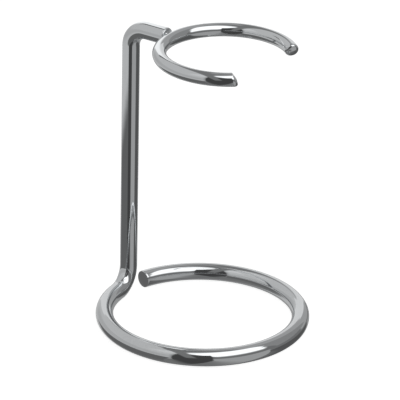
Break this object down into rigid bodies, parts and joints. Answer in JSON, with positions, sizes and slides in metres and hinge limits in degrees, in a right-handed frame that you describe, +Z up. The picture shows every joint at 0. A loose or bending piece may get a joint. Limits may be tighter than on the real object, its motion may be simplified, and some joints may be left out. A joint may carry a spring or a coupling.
{
  "type": "shaving brush stand",
  "caption": "Chromed wire stand for a shaving brush: open base ring, upright, short arm and an open ring that holds the brush by the neck.",
  "frame": {"origin": "centre of the base ring, on the surface that the stand rests on", "axes": "+Z up along the upright; -Y to the front, the way the arm and the ring's mouth point; +X to the right"},
  "size_m": [0.0732, 0.0739, 0.1025],
  "materials": {
    "frame_chrome": "bright chrome plate over polished steel rod",
    "ring_chrome": "bright chrome plate over polished steel rod, ends ground round",
    "weld_chrome": "chrome plate over a smoothed weld bead, a little rougher than the rods"
  },
  "bodies": {
    "root": {"frame_rod": "frame_chrome", "brush_ring": "ring_chrome", "ring_weld": "weld_chrome"}
  },
  "joints": []
}
